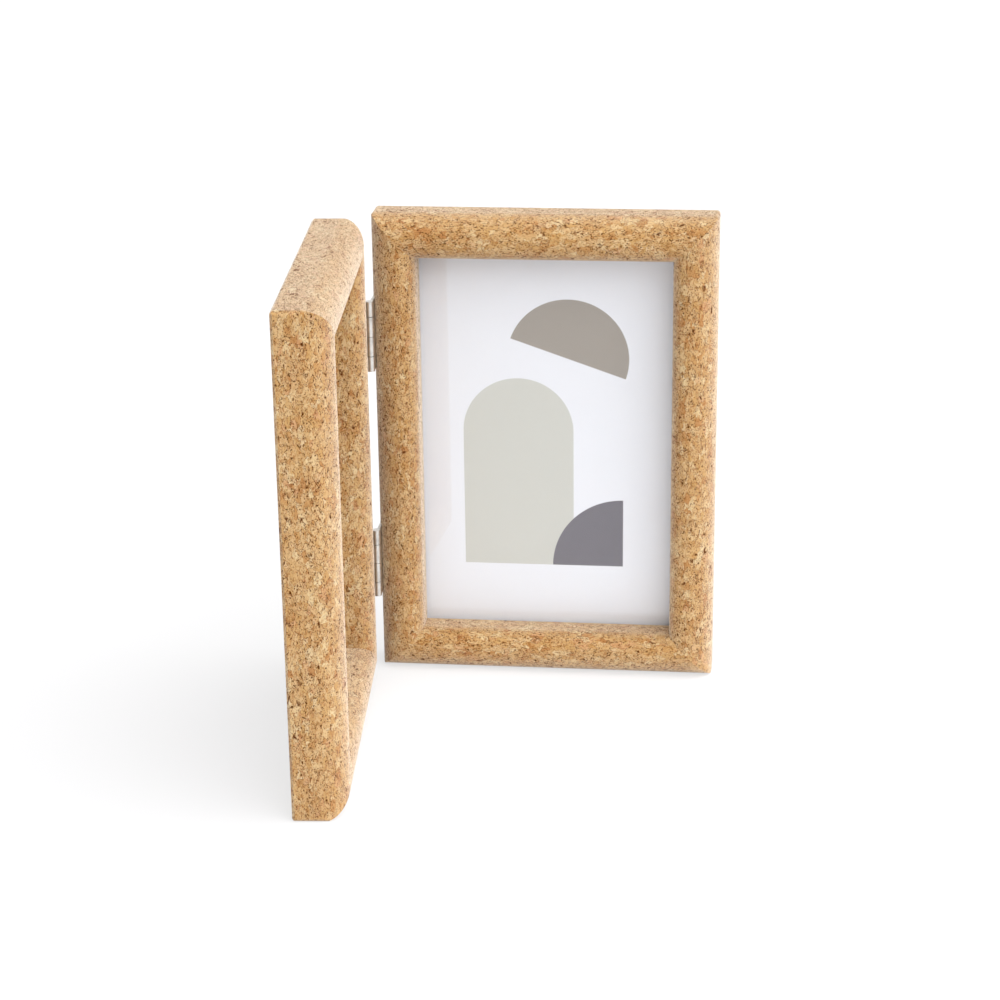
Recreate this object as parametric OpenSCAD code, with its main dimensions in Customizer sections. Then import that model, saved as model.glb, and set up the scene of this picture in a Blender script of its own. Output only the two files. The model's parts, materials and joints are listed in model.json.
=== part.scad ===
// Double photo frame: two mitred cork frames joined by two small butt hinges.
// Lengths are millimetres. Each frame is drawn with x from its hinge side, y from its
// front crest to its back, and z up from its base; on_right and on_left then stand it in place.

/* [Frames] */
// Width of each frame
frame_w = 128; // [110:0.5:220]
// Height of each frame
frame_h = 180; // [150:0.5:280]
// Depth of the moulding from crest to back
frame_depth = 19.5; // [18:0.1:26]
// Width of the moulding seen from the front
rail_w = 16.5; // [16.1:0.1:24]
// Radius of the front towards the outer side
outer_round = 9.5; // [6:0.1:9.9]
// Radius of the front towards the window
inner_round = 6.5; // [3:0.1:6.9]
// Radius of the outer corners
corner_round = 1.5; // [0.5:0.1:3]
// Chamfer along the outer back edge
back_ease = 1; // [0.2:0.1:1.5]

/* [Window] */
// How far the rebate's lip laps over the pane
rebate_lap = 3.75; // [2:0.05:4]
// Thickness of the glass pane
glass_t = 2; // [1.5:0.1:3]
// Thickness of the print
print_t = 0.3; // [0.2:0.05:0.6]
// Thickness of the backing board
board_t = 2.7; // [2:0.1:3.5]
// Depth of the backing board's face below the back of the frame
board_recess = 0.2; // [0.1:0.05:1]
// Gap between the rebate and the edges of pane, print and board
pocket_gap = 0.25; // [0.1:0.05:0.8]

/* [Fold] */
// Turn of the left frame forward from lying flat open beside the right one
fold_angle = 94.3; // [0:0.1:180]
// Gap between the two side faces when the frames lie flat open
fold_gap = 0.5; // [0.3:0.05:1]
// Gap between the two front crests when the frames are folded shut
crest_gap = 0.6; // [0.3:0.05:1.5]
// Height of each hinge's middle above the base, and below the top
hinge_inset = 45; // [30:0.5:50]

/* [Hinges] */
// Outer diameter of the knuckles
barrel_d = 3; // [2.8:0.1:4]
// Length of the knuckle at each end of the barrel
end_knuckle = 5.8; // [4:0.1:8]
// Length of each knuckle in the middle of the barrel
middle_knuckle = 7.6; // [5:0.1:9]
// Gap between neighbouring knuckles
knuckle_gap = 0.2; // [0.1:0.05:0.4]
// Gap between a knuckle and the other leaf's notch round it
notch_gap = 0.3; // [0.2:0.05:0.5]
// Thickness of the leaves
leaf_t = 1; // [0.8:0.05:1.1]
// Width of the leaves from the pin's axis to their far edge
leaf_w = 16; // [14:0.1:18]
// Diameter of the pin
pin_d = 1.4; // [1:0.05:1.8]
// Gap all round the pin in the knuckles that turn on it
pin_clearance = 0.05; // [0.02:0.01:0.1]
// Gap all round the pin in the knuckles that hold it
pin_fit = 0.02; // [0.01:0.01:0.03]
// Gap between a leaf's edges and its mortise
mortise_gap = 0.1; // [0.05:0.05:0.3]

/* [Hinge screws] */
// Diameter of the shank
hinge_screw_d = 2.2; // [1.6:0.1:2.6]
// Diameter of the countersunk head
hinge_head_d = 3.6; // [3.3:0.1:3.6]
// Height of the head's straight rim above its cone
hinge_head_rim = 0.1; // [0.05:0.05:0.2]
// Depth of the head below the leaf's face
hinge_head_sink = 0.15; // [0.05:0.05:0.2]
// Length from the top of the cone to the tip
hinge_screw_l = 9; // [6:0.5:11]
// Distance of the screws from the pin's axis
hinge_screw_reach = 11.8; // [10:0.1:12.5]
// Distance of each screw from the middle of its leaf
hinge_screw_offset = 8; // [5:0.1:10]
// Gap all round a screw in its hole
screw_fit = 0.03; // [0.01:0.01:0.06]

/* [Turn buttons] */
// Width of each button
button_w = 7; // [6:0.1:9]
// Reach of each button from its pivot to its tip
button_reach = 12.5; // [10:0.5:16]
// Thickness of each button
button_t = 0.7; // [0.6:0.1:1.5]
// Distance of each pivot from the rebate's inner wall
button_setback = 5; // [4.5:0.1:7]
// Gap between a button and the faces above and below it
button_gap = 0.1; // [0.05:0.05:0.3]
// Diameter of the shank that a button turns on
button_screw_d = 3; // [2.5:0.1:3.5]
// Diameter of the shank's head
button_head_d = 5.4; // [4.8:0.1:6.4]
// Height of the shank's head
button_head_h = 1.1; // [1:0.1:2]
// Depth to which the shank goes into the rail
button_screw_depth = 9; // [6:0.5:11]

/* [Screw slots] */
// Width of the driver slots
slot_w = 0.6; // [0.4:0.05:0.8]
// Depth of the driver slots
slot_depth = 0.5; // [0.3:0.05:0.7]

/* [Corner nails] */
// Length of each leg of the V-shaped nails
nail_leg = 4.5; // [3:0.1:6]
// Thickness of the nails
nail_t = 0.5; // [0.3:0.05:0.8]
// Depth of the nails in the back of the frame
nail_depth = 8; // [5:0.5:10]
// Distance of the nails' bend from the two outer sides
nail_inset = 7.5; // [6.5:0.1:9]

/* [Hidden] */
$fn = 64;

CORK = [0.84, 0.68, 0.48];
STEEL = [0.74, 0.74, 0.76];
NAIL_STEEL = [0.55, 0.56, 0.58];
GLASS = [0.80, 0.88, 0.88, 0.45];
PAPER = [0.93, 0.93, 0.94];
BOARD = [0.45, 0.34, 0.25];

// How far every cut runs past the faces that it opens
overrun = corner_round;

// Moulding: the crest's flat, the rebate's inner wall and its shoulder
crest_flat = rail_w - outer_round - inner_round;
pocket_wall = rail_w - rebate_lap;
shoulder_y = frame_depth - board_recess - board_t - print_t - glass_t;

// What lies in the rebate
pocket_edge = pocket_wall + pocket_gap;
sheet_w = frame_w - 2 * pocket_edge;
sheet_h = frame_h - 2 * pocket_edge;

// Where the frames meet: the pin's axis, half a gap outside the right frame's front corner
axis_x = -fold_gap / 2;
axis_y = -crest_gap / 2;

// The origin: the middle of the flat strip that the right frame stands on
base_x = frame_w / 2;
base_y = (outer_round + frame_depth - back_ease) / 2;

// Hinges
barrel_r = barrel_d / 2;
barrel_l = 2 * (end_knuckle + middle_knuckle);
knuckle_tops = [
    barrel_l,
    barrel_l - end_knuckle,
    end_knuckle + middle_knuckle,
    end_knuckle,
    0,
];
right_knuckles = [0, 2];
left_knuckles = [1, 3];
upper_z = frame_h - hinge_inset;
lower_z = hinge_inset;

// Level at which the cones of the hinge screws' heads start
hinge_head_drop = hinge_head_sink + hinge_head_rim;

// Turn buttons: their pivots, and the level of their undersides and of their screws' heads
button_inset = pocket_wall - button_setback;
button_y = frame_depth + button_gap;
button_head_y = button_y + button_t + button_gap;

// Sides of a frame
HINGE_SIDE = 0;
OUTER_SIDE = 1;
BOTTOM_SIDE = 2;
TOP_SIDE = 3;

// Stands the right frame on the origin
module on_right() {
    translate([-base_x, -base_y, 0])
        children();
}

// Turns a mirrored frame about the pin's axis into the left frame's place
module on_left() {
    on_right()
        translate([axis_x, axis_y, 0])
            rotate(fold_angle)
                mirror([1, 0, 0])
                    translate([-axis_x, -axis_y, 0])
                        children();
}

// Takes what is drawn for the hinge side, about the middle of its rail, to any side of the frame
module at_side(side) {
    if (side == HINGE_SIDE)
        translate([0, 0, frame_h / 2])
            children();
    if (side == OUTER_SIDE)
        translate([frame_w, 0, frame_h / 2])
            mirror([1, 0, 0])
                children();
    if (side == BOTTOM_SIDE)
        translate([frame_w / 2, 0, 0])
            mirror([1, 0, -1])
                children();
    if (side == TOP_SIDE)
        translate([frame_w / 2, 0, frame_h])
            mirror([0, 0, 1])
                mirror([1, 0, -1])
                    children();
}

// Quarter of a disc with its right angle at the origin
module quarter_disc(r) {
    intersection() {
        circle(r);
        square(r);
    }
}

// Section of the moulding: x from the outer side to the window, y from the crest to the back
module moulding_section() {
    translate([outer_round, outer_round])
        rotate(180)
            quarter_disc(outer_round);
    translate([outer_round, 0])
        square([crest_flat, outer_round]);
    translate([rail_w - inner_round, inner_round])
        rotate(270)
            quarter_disc(inner_round);
    translate([rail_w - inner_round, inner_round])
        square([inner_round, shoulder_y - inner_round]);
    polygon([
        [0, outer_round],
        [pocket_wall, outer_round],
        [pocket_wall, frame_depth],
        [back_ease, frame_depth],
        [0, frame_depth - back_ease],
    ]);
}

// Rounded tip of a rail at the frame's outer corner, up to the mitre
module corner_sector() {
    translate([corner_round, corner_round])
        intersection() {
            circle(corner_round);
            polygon([[0, 0], [-2 * corner_round, -2 * corner_round], [-2 * corner_round, 0]]);
        }
}

// Outline of a mitred rail seen from the front, standing on its outer side
module rail_outline(length) {
    polygon([
        [0, corner_round],
        [corner_round, corner_round],
        [rail_w, rail_w],
        [rail_w, length - rail_w],
        [corner_round, length - corner_round],
        [0, length - corner_round],
    ]);
    corner_sector();
    translate([0, length])
        mirror([0, 1])
            corner_sector();
}

// One V-shaped nail across the mitre at the corner where two outer sides meet
module corner_nail() {
    far = nail_inset - nail_leg;
    outer = nail_inset + nail_t;
    translate([0, frame_depth, 0])
        rotate([90, 0, 0])
            linear_extrude(nail_depth)
                polygon([
                    [far, nail_inset],
                    [nail_inset, nail_inset],
                    [nail_inset, far],
                    [outer, far],
                    [outer, outer],
                    [far, outer],
                ]);
}

// Mitred rail along z, with the slots for the nails at both ends
module mitred_rail(length) {
    difference() {
        intersection() {
            linear_extrude(length)
                moulding_section();
            translate([0, frame_depth, 0])
                rotate([90, 0, 0])
                    linear_extrude(frame_depth)
                        rail_outline(length);
        }
        corner_nail();
        translate([0, 0, length])
            mirror([0, 0, 1])
                corner_nail();
    }
}

// Hole for a button's screw in the middle of a rail's back
module button_pilot() {
    translate([button_inset, frame_depth + overrun, 0])
        rotate([90, 0, 0])
            cylinder(r = button_screw_d / 2 + screw_fit, h = button_screw_depth + overrun);
}

// Rail at the top or the bottom, with the hole for its turn button
module button_rail(side) {
    color(CORK)
        at_side(side)
            difference() {
                translate([0, 0, -frame_w / 2])
                    mitred_rail(frame_w);
                button_pilot();
            }
}

// Stile on either side of the window
module plain_stile(side) {
    color(CORK)
        at_side(side)
            translate([0, 0, -frame_h / 2])
                mitred_rail(frame_h);
}

// Mortise that takes a hinge leaf, and the holes for its screws
module leaf_mortise(z) {
    depth_y = axis_y + leaf_w + mortise_gap;
    length = barrel_l + 2 * mortise_gap;
    translate([-overrun, -overrun, z - length / 2])
        cube([overrun + leaf_t, overrun + depth_y, length]);
    at_hinge_screws(z)
        cylinder(r = hinge_screw_d / 2 + screw_fit, h = hinge_head_drop + hinge_screw_l + screw_fit);
}

// Stile on the hinge side, with both mortises
module hinge_stile() {
    difference() {
        plain_stile(HINGE_SIDE);
        color(CORK) {
            leaf_mortise(upper_z);
            leaf_mortise(lower_z);
        }
    }
}

// All four nails of a frame
module corner_nails() {
    color(NAIL_STEEL)
        for (x = [0, 1], z = [0, 1])
            translate([x * frame_w, 0, z * frame_h])
                mirror([x, 0, 0])
                    mirror([0, 0, z])
                        corner_nail();
}

// Flat sheet in the rebate, between two depths
module sheet(near_y, thickness) {
    translate([pocket_edge, near_y, pocket_edge])
        cube([sheet_w, thickness, sheet_h]);
}

module glass_pane() {
    color(GLASS)
        sheet(shoulder_y, glass_t);
}

module print_sheet() {
    color(PAPER)
        sheet(shoulder_y + glass_t, print_t);
}

module backing_board() {
    color(BOARD)
        sheet(shoulder_y + glass_t + print_t, board_t);
}

// Half of a disc on the side of negative x
module half_disc(r) {
    rotate(90)
        quarter_disc(r);
    rotate(180)
        quarter_disc(r);
}

// Outline of a turn button, its pivot at the origin
module button_outline() {
    r = button_w / 2;
    tip = button_reach - r;
    difference() {
        union() {
            half_disc(r);
            translate([0, -r])
                square([tip, button_w]);
            translate([tip, 0])
                mirror([1, 0])
                    half_disc(r);
        }
        circle(button_screw_d / 2 + pin_clearance);
    }
}

// Turn button on the back, its tip over the backing board
module turn_button(side) {
    color(STEEL)
        at_side(side)
            translate([button_inset, button_y + button_t, 0])
                rotate([90, 0, 0])
                    linear_extrude(button_t)
                        button_outline();
}

// Screw that a turn button turns on, its slotted head above the button
module button_screw() {
    r = button_head_d / 2;
    difference() {
        translate([0, button_head_y + button_head_h, 0])
            rotate([90, 0, 0])
                rotate_extrude()
                    polygon([
                        [0, 0],
                        [r - button_head_h / 2, 0],
                        [r, button_head_h / 2],
                        [r, button_head_h],
                        [button_screw_d / 2, button_head_h],
                        [button_screw_d / 2, button_head_y + button_head_h - frame_depth + button_screw_depth],
                        [0, button_head_y + button_head_h - frame_depth + button_screw_depth],
                    ]);
        translate([-r - overrun, button_head_y + button_head_h - slot_depth, -slot_w / 2])
            cube([2 * (r + overrun), slot_depth + overrun, slot_w]);
    }
}

// The two screws that a frame's turn buttons turn on
module button_screws() {
    color(STEEL)
        for (side = [BOTTOM_SIDE, TOP_SIDE])
            at_side(side)
                translate([button_inset, 0, 0])
                    button_screw();
}

// Places what points along z at both screws of a leaf, pointing into the stile
module at_hinge_screws(z) {
    for (turn = [-1, 1])
        translate([0, axis_y + hinge_screw_reach, z + turn * hinge_screw_offset])
            rotate([0, 90, 0])
                children();
}

// Countersunk screw, or the hole for it with a gap all round, that starts at a height above its cone
module countersunk(gap, height) {
    shank_r = hinge_screw_d / 2;
    head_r = hinge_head_d / 2;
    translate([0, 0, hinge_head_drop])
        rotate_extrude()
            polygon([
                [0, -height],
                [head_r + gap, -height],
                [head_r + gap, 0],
                [shank_r + gap, head_r - shank_r],
                [shank_r + gap, hinge_screw_l],
                [0, hinge_screw_l],
            ]);
}

// One stretch of the barrel: a knuckle, or the notch that clears it, longer at both ends
module knuckle(index, r, longer) {
    top = knuckle_tops[index] + longer;
    bottom = knuckle_tops[index + 1] - longer;
    translate([axis_x, axis_y, bottom - barrel_l / 2])
        cylinder(r = r, h = top - bottom);
}

// Hinge leaf about its middle: a flat plate that runs into its own knuckles and is
// notched round the other leaf's
module hinge_leaf(own, other, bore_gap) {
    color(STEEL)
        difference() {
            union() {
                translate([0, axis_y, -barrel_l / 2])
                    cube([leaf_t, leaf_w, barrel_l]);
                for (index = own)
                    knuckle(index, barrel_r, 0);
            }
            translate([axis_x, axis_y, -barrel_l / 2 - overrun])
                cylinder(r = pin_d / 2 + bore_gap, h = barrel_l + 2 * overrun);
            for (index = other)
                knuckle(index, barrel_r + notch_gap, knuckle_gap / 2);
            at_hinge_screws(0)
                countersunk(screw_fit, hinge_head_drop + overrun);
        }
}

// Leaf on the right frame: it holds the pin
module right_leaf(z) {
    translate([0, 0, z])
        hinge_leaf(right_knuckles, left_knuckles, pin_fit);
}

// Leaf on the left frame: it turns on the pin
module left_leaf(z) {
    translate([0, 0, z])
        hinge_leaf(left_knuckles, right_knuckles, pin_clearance);
}

// Pin through the whole barrel
module hinge_pin(z) {
    color(STEEL)
        translate([axis_x, axis_y, z - barrel_l / 2])
            cylinder(r = pin_d / 2, h = barrel_l);
}

// The two slotted screws of a leaf
module hinge_screws(z) {
    r = hinge_head_d / 2;
    color(STEEL)
        at_hinge_screws(z)
            difference() {
                countersunk(0, hinge_head_rim);
                translate([-r - overrun, -slot_w / 2, hinge_head_sink - overrun])
                    cube([2 * (r + overrun), slot_w, overrun + slot_depth]);
            }
}

on_right() button_rail(TOP_SIDE);  // right_top_rail
on_right() button_rail(BOTTOM_SIDE);  // right_bottom_rail
on_right() hinge_stile();  // right_hinge_stile
on_right() plain_stile(OUTER_SIDE);  // right_outer_stile
on_right() corner_nails();  // right_corner_nails
on_right() glass_pane();  // right_glass
on_right() print_sheet();  // right_print
on_right() backing_board();  // right_backing_board
on_right() turn_button(TOP_SIDE);  // right_top_button
on_right() turn_button(BOTTOM_SIDE);  // right_bottom_button
on_right() button_screws();  // right_button_screws

on_left() button_rail(TOP_SIDE);  // left_top_rail
on_left() button_rail(BOTTOM_SIDE);  // left_bottom_rail
on_left() hinge_stile();  // left_hinge_stile
on_left() plain_stile(OUTER_SIDE);  // left_outer_stile
on_left() corner_nails();  // left_corner_nails
on_left() glass_pane();  // left_glass
on_left() print_sheet();  // left_print
on_left() backing_board();  // left_backing_board
on_left() turn_button(TOP_SIDE);  // left_top_button
on_left() turn_button(BOTTOM_SIDE);  // left_bottom_button
on_left() button_screws();  // left_button_screws

on_right() right_leaf(upper_z);  // upper_hinge_right_leaf
on_left() left_leaf(upper_z);  // upper_hinge_left_leaf
on_right() hinge_pin(upper_z);  // upper_hinge_pin
on_right() hinge_screws(upper_z);  // upper_hinge_right_screws
on_left() hinge_screws(upper_z);  // upper_hinge_left_screws
on_right() right_leaf(lower_z);  // lower_hinge_right_leaf
on_left() left_leaf(lower_z);  // lower_hinge_left_leaf
on_right() hinge_pin(lower_z);  // lower_hinge_pin
on_right() hinge_screws(lower_z);  // lower_hinge_right_screws
on_left() hinge_screws(lower_z);  // lower_hinge_left_screws
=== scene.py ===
# %% [markdown]
# A double photo frame in cork, dressed step by step.
#
# The object is two small frames for 10 by 15 cm prints, standing like an open book. The frames are
# mouldings of agglomerated cork, joined by two nickel-plated butt hinges. Their construction is
# loaded ready made and to size, so what is left for this lesson is how things look: cork, metal,
# glass, printed paper and board, and the light and camera that show them.
#
# The construction could be modelled again here, but then the hinges would have to be fitted twice.
# Loading it keeps every piece where it turns and seats, and leaves only the surfaces to make.

# %% Load the construction
import json
from math import radians

import bpy
from mathutils import Matrix, Vector


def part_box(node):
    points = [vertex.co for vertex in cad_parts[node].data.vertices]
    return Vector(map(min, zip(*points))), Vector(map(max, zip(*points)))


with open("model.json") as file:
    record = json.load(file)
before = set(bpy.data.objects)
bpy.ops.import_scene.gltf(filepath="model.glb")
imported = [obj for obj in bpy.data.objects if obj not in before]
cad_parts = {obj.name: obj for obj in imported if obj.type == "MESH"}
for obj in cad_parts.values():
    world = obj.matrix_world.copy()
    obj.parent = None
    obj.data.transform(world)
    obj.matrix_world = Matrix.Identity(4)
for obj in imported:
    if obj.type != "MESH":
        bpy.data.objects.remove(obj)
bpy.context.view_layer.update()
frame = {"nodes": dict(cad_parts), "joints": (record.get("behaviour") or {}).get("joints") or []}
nodes = frame["nodes"]
MM = 0.001

# %% [markdown]
# Colours are picked in sRGB, as hex values, because that is what a colour picker gives. The sockets
# of nodes hold linear light, so one function turns the first into the second, with the numbers of
# the sRGB curve. A second function adds a node with its settings and links, which keeps each
# material short enough to read as a recipe.

# %% Colours and nodes
def linear(hex_code):
    """The linear colour of an sRGB hex value, fully opaque."""
    channels = [int(hex_code[i:i + 2], 16) / 255 for i in (1, 3, 5)]
    return (*(c / 12.92 if c <= 0.04045 else ((c + 0.055) / 1.055) ** 2.4 for c in channels), 1.0)


def add(tree, kind, values=None, links=None, stops=(), **settings):
    """Adds a node. Settings are its properties; values and links go to its sockets."""
    node = tree.nodes.new("ShaderNode" + kind)
    for name, value in settings.items():
        setattr(node, name, value)
    for name, value in (values or {}).items():
        node.inputs[name].default_value = value
    for name, source in (links or {}).items():
        tree.links.new(source, node.inputs[name])
    for i, (place, hex_code) in enumerate(stops):
        ends = node.color_ramp.elements
        stop = ends[i] if i < len(ends) else ends.new(place)
        stop.position, stop.color = place, linear(hex_code)
    return node


def new_material(name):
    """An empty node material and its tree."""
    material = bpy.data.materials.new(name)
    material.use_nodes = True
    material.node_tree.nodes.clear()
    return material, material.node_tree


def dress(names, material):
    """Gives loaded pieces a material."""
    for name in names:
        for place in nodes[name].material_slots:
            place.material = material
    print(f"{material.name}: {len(names)} pieces")


print("white is", linear("#ffffff"), "and mid grey is", linear("#808080"))

# %% [markdown]
# The photograph was taken from in front of the right frame and a little to its right, looking down
# by about 20 degrees through a long lens. A camera fitted to the frames' straight edges gives the
# numbers. Setting three plain turns, one after the other, says more than a matrix would. A camera
# without any turn looks straight down, so a quarter turn lifts it to the horizon first.

# %% Camera
IMAGE_PX = 1000
FOCAL_PX = 2449.3
SENSOR_MM = 36
FARTHEST = 50
camera_data = bpy.data.cameras.new("camera")
camera_data.sensor_width = SENSOR_MM
camera_data.lens = SENSOR_MM * FOCAL_PX / IMAGE_PX
camera_data.clip_end = FARTHEST
camera = bpy.data.objects.new("camera", camera_data)
bpy.context.scene.collection.objects.link(camera)
camera_place = Vector((0.0831, -0.8781, 0.3855))
quarter_turn = radians(90)
yaw, pitch, roll = radians(6.58), radians(-19.84), radians(0.745)
camera.matrix_world = (
    Matrix.Translation(camera_place)
    @ Matrix.Rotation(yaw, 4, "Z")
    @ Matrix.Rotation(quarter_turn + pitch, 4, "X")
    @ Matrix.Rotation(-roll, 4, "Z")
)
bpy.context.scene.camera = camera
print(f"lens {camera_data.lens:.1f} mm, {camera_place.length:.2f} m from the origin")

# %% [markdown]
# The studio is a wide pale floor under a white sky. A camera ray sees one third of the floor's own
# light and two thirds of plain white, so the floor reads as white paper and still keeps the shadow
# that the frames cast. Metal and glass see the same white, because glossy and transmitted rays are
# treated alike.
#
# More light on the floor would make it white as well, but it would bleach the cork too.

# %% Floor
def seen_directly(tree):
    """1 for rays from the camera, a mirror or through glass, and 0 for the rest."""
    path = add(tree, "LightPath").outputs
    camera_or_mirror = add(
        tree, "Math", links={0: path["Is Camera Ray"], 1: path["Is Glossy Ray"]}, operation="MAXIMUM"
    ).outputs[0]
    return add(
        tree, "Math", links={0: camera_or_mirror, 1: path["Is Transmission Ray"]}, operation="MAXIMUM"
    ).outputs[0]


FLOOR_SIDE = 12.0
floor_mesh = bpy.data.meshes.new("floor")
half = FLOOR_SIDE / 2
floor_mesh.from_pydata(
    [(-half, -half, 0), (half, -half, 0), (half, half, 0), (-half, half, 0)], [], [(0, 1, 2, 3)]
)
floor = bpy.data.objects.new("floor", floor_mesh)
bpy.context.scene.collection.objects.link(floor)
paper_sweep, tree = new_material("white_paper_sweep")
own_light = add(tree, "BsdfDiffuse", {"Color": linear("#e8e8ea")})
FULL_WHITE = 1.0
plain_white = add(tree, "Emission", {"Color": linear("#ffffff"), "Strength": FULL_WHITE})
WHITE_SHARE = 0.66
share = add(tree, "Math", {1: WHITE_SHARE}, {0: seen_directly(tree)}, operation="MULTIPLY")
surface = add(
    tree, "MixShader", links={0: share.outputs[0], 1: own_light.outputs[0], 2: plain_white.outputs[0]}
)
add(tree, "OutputMaterial", links={"Surface": surface.outputs[0]})
floor_mesh.materials.append(paper_sweep)
print(f"floor {FLOOR_SIDE} m wide, {WHITE_SHARE:.0%} plain white to the camera")

# %% [markdown]
# The sky fills the shade from all sides. It lights the object weakly, and the camera, mirrors and
# glass still see it as plain white, by the same switch as for the floor.

# %% Sky
SKY_LIGHT = 0.24
world = bpy.data.worlds.new("white_studio")
bpy.context.scene.world = world
world.use_nodes = True
tree = world.node_tree
tree.nodes.clear()
strength = add(
    tree, "MapRange", {"To Min": SKY_LIGHT, "To Max": FULL_WHITE}, {"Value": seen_directly(tree)}
)
sky = add(tree, "Background", {"Color": linear("#ffffff")}, {"Strength": strength.outputs[0]})
add(tree, "OutputWorld", links={"Surface": sky.outputs[0]})
print(f"sky light {SKY_LIGHT}")

# %% [markdown]
# One large soft lamp stands to the right, in front and above. It leaves the side of the right
# frame that faces left in shade, and lays the soft grey shadow to the left of the left frame. A
# much weaker one shines from low in front and opens the shade on the faces turned to the camera.
# Sun lamps with a wide angle do this evenly over the whole floor, where area lamps would fall off
# towards the edges of the picture.

# %% Key and fill light
def sun(name, toward, energy, spread):
    """Adds a soft sun lamp that shines from a direction, as wide as its spread in degrees."""
    data = bpy.data.lights.new(name, "SUN")
    data.energy, data.angle = energy, radians(spread)
    lamp = bpy.data.objects.new(name, data)
    lamp.rotation_euler = Vector(toward).to_track_quat("Z", "Y").to_euler()
    bpy.context.scene.collection.objects.link(lamp)


sun("key", toward=(0.82, -0.37, 1.25), energy=5.0, spread=90)
sun("fill", toward=(0, -1, 0.3), energy=0.5, spread=60)

# %% [markdown]
# The hinges' range tells how far the left frame is turned. At its lower end both frames lie in one
# plane, so the turn is that end with its sign changed. Patterns on the left frame are laid out in
# its own directions, so the turn goes into their mapping, and the grain can run along each rail and
# stile of both frames.

# %% Directions of both frames
fold = next(joint for joint in frame["joints"] if joint["name"] == "fold")
turn = {"right": 0.0, "left": radians(-fold["range_deg"][0])}
print({side: round(angle, 3) for side, angle in turn.items()})

# %% [markdown]
# Agglomerated cork is cork oak bark, ground to granules of one to three millimetres, pressed into
# a block with a little binder and cut into mouldings. Each granule keeps its own shade, from cream
# to amber, but the shades lie close together. Up close, a grain of half a millimetre runs through
# it all, and from one centimetre to the next the cork is a little darker or paler.
#
# A picture of cork would repeat and smear round the moulding. A pattern that fills space is cut by
# the moulding's surface as the block is by the saw, so it meets itself round every edge. The
# granules lie longer along the moulding, and noise pushes their straight cell walls out of line
# until they look torn.

# %% Granules
GRANULE_MM = 1.8
CRUMB_MM = 0.5
PATCH_MM = 7.0
GRAIN_STRETCH = 1.7
TEAR_MM = 2.2 * GRANULE_MM
TEARS_PER_MM = 1.3 / GRANULE_MM
NOISE_MEAN = 0.5
GRANULE_SHADES = [
    (0.0, "#ae7d49"), (0.14, "#b9925b"), (0.5, "#be9b6b"),
    (0.8, "#c4a577"), (0.93, "#cab38a"), (0.975, "#be9467"),
]
CRUMB_SHADES = [(0.0, "#b8854f"), (0.22, "#ecdabd"), (0.5, "#ffffff")]
PATCH_SHADES = [(0.35, "#e6c9ab"), (0.6, "#ffffff")]
CRUMB_AMOUNT = 0.8
PATCH_AMOUNT = 0.2

# Sockets of the Mix node in its colour mode, whose names repeat
FACTOR, COLOUR_A, COLOUR_B, MIXED = 0, 6, 7, 2


def cork_space(tree, side, upright):
    """Places in millimetres in a frame's own directions, stretched along the grain: plain and torn."""
    along = MM * GRAIN_STRETCH
    place = add(tree, "TexCoord").outputs["Object"]
    in_mm = add(
        tree, "Mapping",
        {"Rotation": (0, 0, turn[side]), "Scale": (MM, MM, along) if upright else (along, MM, MM)},
        {"Vector": place}, vector_type="TEXTURE",
    ).outputs[0]
    ragged = add(
        tree, "TexNoise", {"Scale": TEARS_PER_MM, "Detail": 4.0}, {"Vector": in_mm}
    ).outputs["Color"]
    offset = add(
        tree, "VectorMath", {1: (NOISE_MEAN,) * 3}, {0: ragged}, operation="SUBTRACT"
    ).outputs[0]
    torn = add(
        tree, "VectorMath", {1: (TEAR_MM,) * 3}, {0: offset, 2: in_mm}, operation="MULTIPLY_ADD"
    ).outputs[0]
    return in_mm, torn


def random_shade(tree, texture, channel, stops):
    """A shade of its own for each granule or crumb."""
    shade = add(tree, "SeparateColor", links={0: texture.outputs["Color"]}).outputs[channel]
    return add(tree, "ValToRGB", links={0: shade}, stops=stops).outputs[0]


def cork_shades(tree, granules, crumbs, patches):
    """The colour of the cork from its granules, tinted by its crumbs and patches."""
    colour = random_shade(tree, granules, 0, GRANULE_SHADES)
    crumb_tone = random_shade(tree, crumbs, 1, CRUMB_SHADES)
    patch_tone = add(tree, "ValToRGB", links={0: patches}, stops=PATCH_SHADES).outputs[0]
    for amount, tone in ((CRUMB_AMOUNT, crumb_tone), (PATCH_AMOUNT, patch_tone)):
        colour = add(
            tree, "Mix", {FACTOR: amount}, {COLOUR_A: colour, COLOUR_B: tone},
            data_type="RGBA", blend_type="MULTIPLY",
        ).outputs[MIXED]
    return colour


print(f"granules {GRANULE_MM} mm, crumbs {CRUMB_MM} mm, patches {PATCH_MM} mm")

# %% [markdown]
# What the eye sees first are the small pits between the granules and a few crumbs of hard outer bark.
# The pits' dark brown is painted shade: the shade that would lie inside such small hollows. A pit is
# where a fine noise rises past a limit. The limit is lower along the seams between granules, and a
# little lower in the darker patches, so more of the pits, and of their painted shade, lie there.
# Each crumb of bark is the core of a larger cell, and only about one of these in six has one.

# %% Pits and bark
PIT_MM = 0.42
PIT_EDGE, PIT_FLOOR = 0.59, 0.635
# The pits' colour is painted shade, standing in for the shade inside the hollows
PIT_PAINTED_SHADE = "#4c2103"
SEAM_WIDTH = 0.1
SEAM_PULL = 0.1
PATCH_PULL = 0.04
FLECK_MM = 2.4
FLECK_NONE, FLECK_SURE = 0.8, 0.86
FLECK_CORE, FLECK_RIM = 0.1, 0.3
BARK_BROWN = "#54260a"


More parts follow.
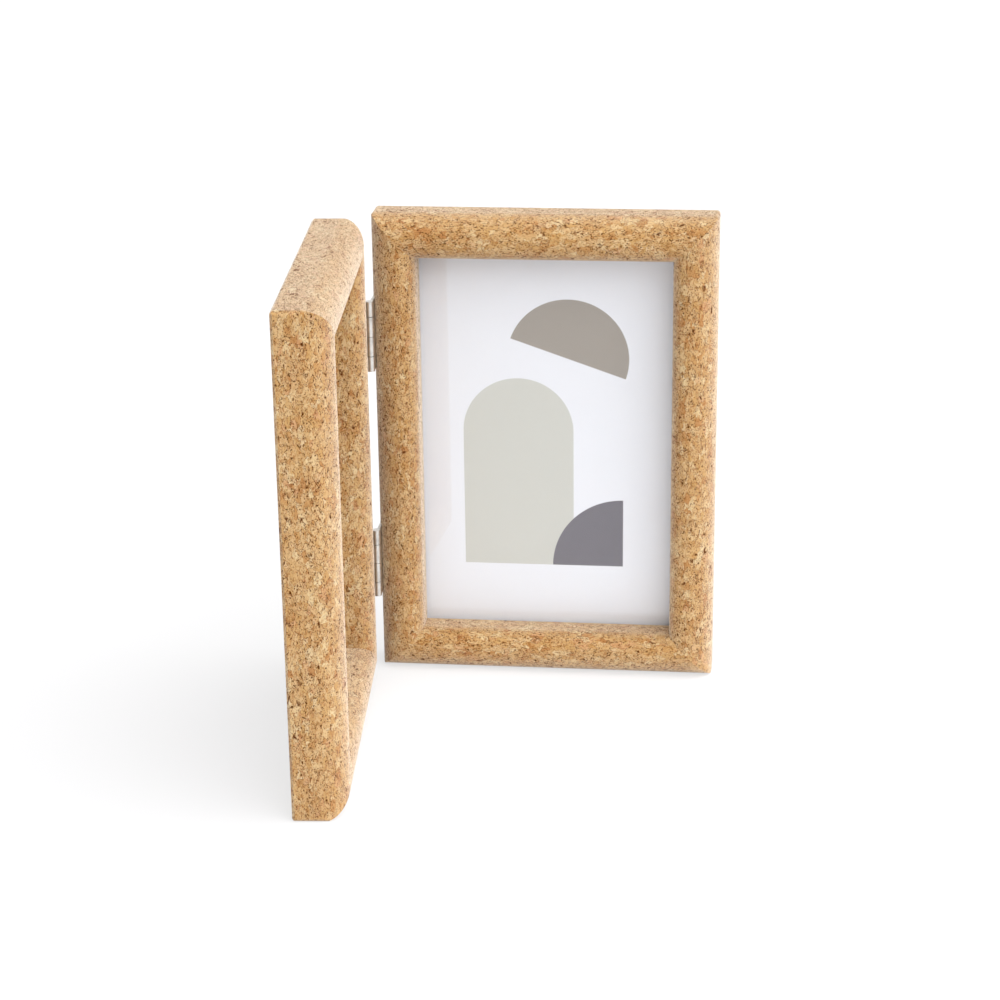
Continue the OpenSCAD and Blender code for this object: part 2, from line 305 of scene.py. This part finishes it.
def cork_pits(tree, torn, patches):
    """1 in the small hollows between the granules, which get a painted shade."""
    seams = add(
        tree, "TexVoronoi", {"Scale": 1 / GRANULE_MM}, {"Vector": torn}, feature="DISTANCE_TO_EDGE"
    ).outputs["Distance"]
    seam = add(
        tree, "MapRange", {"From Max": SEAM_WIDTH, "To Min": SEAM_PULL, "To Max": 0.0}, {"Value": seams}
    ).outputs[0]
    hollows = add(tree, "TexNoise", {"Scale": 1 / PIT_MM, "Detail": 2.0}, {"Vector": torn}).outputs["Fac"]
    gathered = add(
        tree, "MapRange", {"To Min": -PATCH_PULL, "To Max": PATCH_PULL}, {"Value": patches}
    ).outputs[0]
    near_seams = add(tree, "Math", links={0: hollows, 1: seam}, operation="ADD").outputs[0]
    depth = add(tree, "Math", links={0: near_seams, 1: gathered}, operation="SUBTRACT").outputs[0]
    return add(
        tree, "MapRange", {"From Min": PIT_EDGE, "From Max": PIT_FLOOR}, {"Value": depth}
    ).outputs[0]


def bark_crumbs(tree, torn):
    """1 in the rare crumbs of outer bark."""
    flecks = add(tree, "TexVoronoi", {"Scale": 1 / FLECK_MM}, {"Vector": torn})
    rare = add(tree, "SeparateColor", links={0: flecks.outputs["Color"]}).outputs[2]
    chosen = add(
        tree, "MapRange", {"From Min": FLECK_NONE, "From Max": FLECK_SURE}, {"Value": rare}
    ).outputs[0]
    near = add(
        tree, "MapRange", {"From Min": FLECK_CORE, "From Max": FLECK_RIM, "To Min": 1.0, "To Max": 0.0},
        {"Value": flecks.outputs["Distance"]},
    ).outputs[0]
    return add(tree, "Math", links={0: chosen, 1: near}, operation="MULTIPLY").outputs[0]


print(f"pits {PIT_MM} mm in {PIT_PAINTED_SHADE}, bark in cells of {FLECK_MM} mm in {BARK_BROWN}")

# %% [markdown]
# The sawn and sanded surface is matt. The cut cells stand open like tiny cups whose rims catch the
# light at a slant, which is what the sheen is for, and it stops in the pits and on the bark, where
# there are no such rims. The crumbs stand a little proud of each other, and the pits and the bark
# lie deeper, so the same patterns drive the relief.

# %% Cork
RELIEF_MM = 0.12
CRUMB_LIFT = 0.5


def cork_relief(tree, crumbs, hollows):
    """Crumbs that stand proud of each other, and hollows that lie deeper."""
    crumb_height = add(tree, "SeparateColor", links={0: crumbs.outputs["Color"]}).outputs[0]
    height = add(tree, "MapRange", {"To Min": 0.0, "To Max": CRUMB_LIFT}, {"Value": crumb_height}).outputs[0]
    for hollow in hollows:
        height = add(tree, "Math", links={0: height, 1: hollow}, operation="SUBTRACT").outputs[0]
    return add(
        tree, "Bump", {"Strength": 0.5, "Distance": RELIEF_MM * MM}, {"Height": height}
    ).outputs[0]


def cork_material(name, side, upright):
    """Agglomerated cork whose granules lie along an upright stile or a level rail."""
    material, tree = new_material(name)
    in_mm, torn = cork_space(tree, side, upright)
    granules = add(tree, "TexVoronoi", {"Scale": 1 / GRANULE_MM}, {"Vector": torn})
    crumbs = add(tree, "TexVoronoi", {"Scale": 1 / CRUMB_MM}, {"Vector": torn})
    patches = add(
        tree, "TexNoise", {"Scale": 1 / PATCH_MM, "Detail": 3.0}, {"Vector": in_mm}
    ).outputs["Fac"]
    pit = cork_pits(tree, torn, patches)
    bark = bark_crumbs(tree, torn)
    colour = cork_shades(tree, granules, crumbs, patches)
    # The pits get a painted shade of their hollows; the bark crumbs keep their own dark brown
    for spot, brown in ((pit, PIT_PAINTED_SHADE), (bark, BARK_BROWN)):
        colour = add(
            tree, "Mix", {COLOUR_B: linear(brown)}, {FACTOR: spot, COLOUR_A: colour}, data_type="RGBA"
        ).outputs[MIXED]
    dark = add(tree, "Math", links={0: pit, 1: bark}, operation="MAXIMUM").outputs[0]
    rims = add(tree, "MapRange", {"To Min": 1.0, "To Max": 0.0}, {"Value": dark}).outputs[0]
    shader = add(
        tree, "BsdfPrincipled",
        {"Roughness": 0.9, "IOR": 1.4, "Specular IOR Level": 0.1, "Sheen Roughness": 0.5,
         "Sheen Tint": linear("#fff4e4")},
        {"Base Color": colour, "Sheen Weight": rims, "Normal": cork_relief(tree, crumbs, (pit, bark))},
    ).outputs[0]
    add(tree, "OutputMaterial", links={"Surface": shader})
    return material


for side in turn:
    stiles = [f"{side}_{name}_stile" for name in ("hinge", "outer")]
    dress(stiles, cork_material(f"cork_{side}_upright", side, True))
    rails = [f"{side}_{name}_rail" for name in ("top", "bottom")]
    dress(rails, cork_material(f"cork_{side}_level", side, False))

# %% [markdown]
# The hinges, the turn buttons and their screws are steel with a thin satin coat of nickel, a slightly
# warm grey metal. They are stamped from rolled strip, and the rolls leave fine lines that run the
# strip's long way and stay visible through the plating: some bands are smoother and mirror the
# lamp, others scatter it. A metal's colour is its reflection, so metallic is 1, the IOR stays at its
# default, and the lines go into colour and roughness alike. Screw heads are pressed from wire and
# tumbled before plating, so they come out smoother and a shade darker than the strip. The nails
# across the mitres are cut from bare bright strip, which is greyer.

# %% Nickel-plated steel
LINE_MM = 0.12
LINE_STRETCH = 30
LINE_RELIEF_MM = 0.01
SMUDGE_MM = 4
SMUDGE_SHARE = 0.4
DARK_LINE, PALE_LINE = 0.35, 0.62
DULL_LINE, BRIGHT_LINE = 0.35, 0.65
DULLER, BRIGHTER = 0.12, 0.08


def rolled_steel(name, tones, roughness):
    """Steel strip with lines from rolling that run upright, and a few smudges."""
    material, tree = new_material(name)
    place = add(tree, "TexCoord").outputs["Object"]
    lines_mm = add(
        tree, "Mapping", {"Scale": (LINE_MM * MM, LINE_MM * MM, LINE_MM * LINE_STRETCH * MM)},
        {"Vector": place}, vector_type="TEXTURE",
    ).outputs[0]
    lines = add(tree, "TexNoise", {"Scale": 1.0, "Detail": 4.0}, {"Vector": lines_mm}).outputs["Fac"]
    smudges = add(
        tree, "TexNoise", {"Scale": 1 / (SMUDGE_MM * MM), "Detail": 3.0}, {"Vector": place}
    ).outputs["Fac"]
    wear = add(tree, "Mix", {0: SMUDGE_SHARE}, {2: lines, 3: smudges}, data_type="FLOAT").outputs[0]
    colour = add(
        tree, "ValToRGB", links={0: wear}, stops=[(DARK_LINE, tones[0]), (PALE_LINE, tones[1])]
    ).outputs[0]
    dull = add(
        tree, "MapRange",
        {"From Min": DULL_LINE, "From Max": BRIGHT_LINE,
         "To Min": roughness + DULLER, "To Max": roughness - BRIGHTER},
        {"Value": wear},
    ).outputs[0]
    relief = add(
        tree, "Bump", {"Strength": 0.15, "Distance": LINE_RELIEF_MM * MM}, {"Height": lines}
    ).outputs[0]
    shader = add(
        tree, "BsdfPrincipled", {"Metallic": 1.0},
        {"Base Color": colour, "Roughness": dull, "Normal": relief},
    ).outputs[0]
    add(tree, "OutputMaterial", links={"Surface": shader})
    return material


plates = [name for name in nodes if name.endswith(("leaf", "pin", "button"))]
dress(plates, rolled_steel("nickel_plated_steel", ("#b4b1ac", "#ece9e4"), 0.4))
screws = [name for name in nodes if name.endswith("screws")]
dress(screws, rolled_steel("nickel_plated_screw_heads", ("#8f8c88", "#b5b2ad"), 0.3))
nails = [name for name in nodes if name.endswith("corner_nails")]
dress(nails, rolled_steel("bright_steel_strip", ("#77797c", "#9c9ea1"), 0.45))

# %% [markdown]
# The panes are 2 mm float glass: clear, flat, IOR 1.52, with no texture at all. Rays from the lamps
# would be stopped by a solid of glass, because a path tracer finds them only by chance, so for
# shadow and diffuse rays the pane is treated as an open window. What is left to see is the glass's
# own faint mirror.

# %% Float glass
material, tree = new_material("float_glass")
pane = add(tree, "BsdfPrincipled", {
    "Base Color": linear("#fbfdfc"), "Roughness": 0.0, "IOR": 1.52, "Transmission Weight": 1.0,
}).outputs[0]
open_window = add(tree, "BsdfTransparent", {"Color": linear("#fbfdfc")}).outputs[0]
path = add(tree, "LightPath").outputs
lamp_light = add(
    tree, "Math", links={0: path["Is Shadow Ray"], 1: path["Is Diffuse Ray"]}, operation="MAXIMUM"
).outputs[0]
surface = add(tree, "MixShader", links={0: lamp_light, 1: pane, 2: open_window}).outputs[0]
add(tree, "OutputMaterial", links={"Surface": surface})
dress(["right_glass", "left_glass"], material)

# %% [markdown]
# Each frame holds an abstract print in three flat inks on matt white paper. The inks lie flat in
# the paper, so they belong in its material and not in the mesh. Each motif is put together from a
# few simple bounds, by their overlap or their union, and each bound is a distance in millimetres
# that turns into an edge as soft as the ink's.

# %% Bounds of printed motifs
INK_EDGE_MM = 0.12


def inside(tree, distance):
    """1 where a distance in millimetres is below zero, with the ink's soft edge."""
    return add(
        tree, "MapRange", {"From Min": -INK_EDGE_MM, "From Max": INK_EDGE_MM, "To Min": 1.0, "To Max": 0.0},
        {"Value": distance},
    ).outputs[0]


def disc(tree, across, centre, radius):
    """Bound of a round motif."""
    away = add(tree, "VectorMath", {1: centre}, {0: across}, operation="DISTANCE").outputs["Value"]
    return inside(tree, add(tree, "Math", {1: radius}, {0: away}, operation="SUBTRACT").outputs[0])


def half_plane(tree, across, point, outward):
    """Bound with a straight edge through a point."""
    away = add(tree, "VectorMath", {1: point}, {0: across}, operation="SUBTRACT").outputs[0]
    normal = Vector(outward).normalized()
    return inside(
        tree, add(tree, "VectorMath", {1: normal}, {0: away}, operation="DOT_PRODUCT").outputs["Value"]
    )


def combine(tree, operation, bounds):
    """Joins the bounds of a motif, by MINIMUM for an overlap or MAXIMUM for a union."""
    result = bounds[0]
    for bound in bounds[1:]:
        result = add(tree, "Math", links={0: result, 1: bound}, operation=operation).outputs[0]
    return result


print(f"ink edges {2 * INK_EDGE_MM} mm wide")

# %% [markdown]
# The inks are a warm taupe, a dark grey and a pale greige. The motifs are an arch, half a disc and
# a quarter of one on the right, and a ring, a bar and a wedge on the left. All places are in
# millimetres from the middle of the sheet, across and up, and an edge is given by a point on it
# and the direction that it faces.

# %% Motifs
TAUPE, SLATE, GREIGE = "#978c85", "#67616b", "#c5c1bd"
LEFTWARD, RIGHTWARD, DOWNWARD, UPWARD = (-1, 0, 0), (1, 0, 0), (0, 0, -1), (0, 0, 1)


def right_motifs(tree, across):
    """An arch, half a disc and a quarter disc, each with its ink."""
    arch_x, arch_r, arch_top, foot = -11, 21, 4, -50
    doorway = combine(tree, "MINIMUM", [
        half_plane(tree, across, (arch_x - arch_r, 0, 0), LEFTWARD),
        half_plane(tree, across, (arch_x + arch_r, 0, 0), RIGHTWARD),
        half_plane(tree, across, (0, 0, foot), DOWNWARD),
        half_plane(tree, across, (0, 0, arch_top), UPWARD),
    ])
    arch = combine(tree, "MAXIMUM", [doorway, disc(tree, across, (arch_x, 0, arch_top), arch_r)])
    dome_at, dome_r, dome_tilt = (8, 0, 33), 23, (-0.35, 0, -1)
    dome = combine(tree, "MINIMUM", [
        disc(tree, across, dome_at, dome_r),
        half_plane(tree, across, dome_at, dome_tilt),
    ])
    corner, quarter_r = (29, 0, foot), 27
    quarter = combine(tree, "MINIMUM", [
        disc(tree, across, corner, quarter_r),
        half_plane(tree, across, corner, RIGHTWARD),
        half_plane(tree, across, corner, DOWNWARD),
    ])
    return [(arch, GREIGE), (dome, TAUPE), (quarter, SLATE)]


def left_motifs(tree, across):
    """A bar, a ring and a wedge, each with its ink."""
    bar_left, bar_right, bar_foot, bar_top, bar_lean = -24, -8, -44, 22, 0.1
    bar = combine(tree, "MINIMUM", [
        half_plane(tree, across, (bar_left, 0, 0), (-1, 0, bar_lean)),
        half_plane(tree, across, (bar_right, 0, 0), (1, 0, -bar_lean)),
        half_plane(tree, across, (0, 0, bar_foot), DOWNWARD),
        half_plane(tree, across, (0, 0, bar_top), UPWARD),
    ])
    ring_at, ring_r, hole_r = (12, 0, 22), 21, 11
    hole = disc(tree, across, ring_at, hole_r)
    round_the_hole = add(tree, "Math", {0: 1.0}, {1: hole}, operation="SUBTRACT").outputs[0]
    ring = combine(tree, "MINIMUM", [disc(tree, across, ring_at, ring_r), round_the_hole])
    wedge_left, wedge_right, wedge_foot = -14, 31, -46
    wedge = combine(tree, "MINIMUM", [
        half_plane(tree, across, (0, 0, wedge_foot), DOWNWARD),
        half_plane(tree, across, (wedge_right, 0, wedge_foot), (1, 0, 0.35)),
        half_plane(tree, across, (wedge_left, 0, wedge_foot), (-1, 0, 0.9)),
    ])
    return [(bar, TAUPE), (ring, GREIGE), (wedge, SLATE)]


print("inks:", TAUPE, SLATE, GREIGE)

# %% [markdown]
# The paper is uncoated and matt, with a faint cloudy tone from its fibres, and the inks take on its
# roughness.
#
# Paper never lies quite flat against its pane. Drawing the sheet in by a few hundredths of a
# millimetre leaves the thin film of air that is really there, and a ray that leaves the glass then
# meets the paper's front, not two faces in one place.

# %% Printed paper
PAPER_GRAIN_MM = 0.5
PAPER_RELIEF_MM = 0.02
PAPER_SHADES = [(0.3, "#e2dfe8"), (0.7, "#e6e3ec")]
AIR_MM = 0.05
for side, motifs in (("right", right_motifs), ("left", left_motifs)):
    material, tree = new_material(f"matt_print_{side}")
    low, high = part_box(f"{side}_print")
    place = add(tree, "TexCoord").outputs["Object"]
    across = add(
        tree, "Mapping",
        {"Location": (low + high) / 2, "Rotation": (0, 0, turn[side]), "Scale": (MM,) * 3},
        {"Vector": place}, vector_type="TEXTURE",
    ).outputs[0]
    fibres = add(
        tree, "TexNoise", {"Scale": 1 / PAPER_GRAIN_MM, "Detail": 4.0}, {"Vector": across}
    ).outputs["Fac"]
    colour = add(tree, "ValToRGB", links={0: fibres}, stops=PAPER_SHADES).outputs[0]
    for motif, ink in motifs(tree, across):
        colour = add(
            tree, "Mix", {COLOUR_B: linear(ink)}, {FACTOR: motif, COLOUR_A: colour}, data_type="RGBA"
        ).outputs[MIXED]
    relief = add(
        tree, "Bump", {"Strength": 0.1, "Distance": PAPER_RELIEF_MM * MM}, {"Height": fibres}
    ).outputs[0]
    shader = add(
        tree, "BsdfPrincipled", {"Roughness": 0.8, "IOR": 1.5, "Specular IOR Level": 0.2},
        {"Base Color": colour, "Normal": relief},
    ).outputs[0]
    add(tree, "OutputMaterial", links={"Surface": shader})
    dress([f"{side}_print"], material)
    film = nodes[f"{side}_print"].modifiers.new("film_of_air", "DISPLACE")
    film.mid_level, film.strength = 0.0, -AIR_MM * MM

# %% [markdown]
# The backs are hardboard: wood fibres cooked and pressed into a thin brown sheet. Its good side is
# smooth and a little glossy, with a faint cloudy tone where the fibres lie closer.

# %% Hardboard
FIBRE_MM = 0.9
CLOUD_MM = 5 * FIBRE_MM
CLOUD_SHARE = 0.35
FIBRE_RELIEF_MM = 0.05
HARDBOARD_SHADES = [(0.3, "#523726"), (0.5, "#6d4b34"), (0.7, "#876045")]
material, tree = new_material("hardboard")
place = add(tree, "TexCoord").outputs["Object"]
in_mm = add(
    tree, "Mapping", {"Scale": (MM,) * 3}, {"Vector": place}, vector_type="TEXTURE"
).outputs[0]
fibres = add(
    tree, "TexNoise", {"Scale": 1 / FIBRE_MM, "Detail": 6.0, "Roughness": 0.65, "Distortion": 0.8},
    {"Vector": in_mm},
).outputs["Fac"]
clouds = add(tree, "TexNoise", {"Scale": 1 / CLOUD_MM, "Detail": 3.0}, {"Vector": in_mm}).outputs["Fac"]
both = add(tree, "Mix", {0: CLOUD_SHARE}, {2: fibres, 3: clouds}, data_type="FLOAT").outputs[0]
colour = add(tree, "ValToRGB", links={0: both}, stops=HARDBOARD_SHADES).outputs[0]
relief = add(
    tree, "Bump", {"Strength": 0.25, "Distance": FIBRE_RELIEF_MM * MM}, {"Height": fibres}
).outputs[0]
shader = add(
    tree, "BsdfPrincipled", {"Roughness": 0.55, "IOR": 1.5}, {"Base Color": colour, "Normal": relief}
).outputs[0]
add(tree, "OutputMaterial", links={"Surface": shader})
dress(["right_backing_board", "left_backing_board"], material)

# %% [markdown]
# The picture is read as it is: the Standard view shows a colour as it was written.

# %% View
bpy.context.scene.view_settings.view_transform = "Standard"
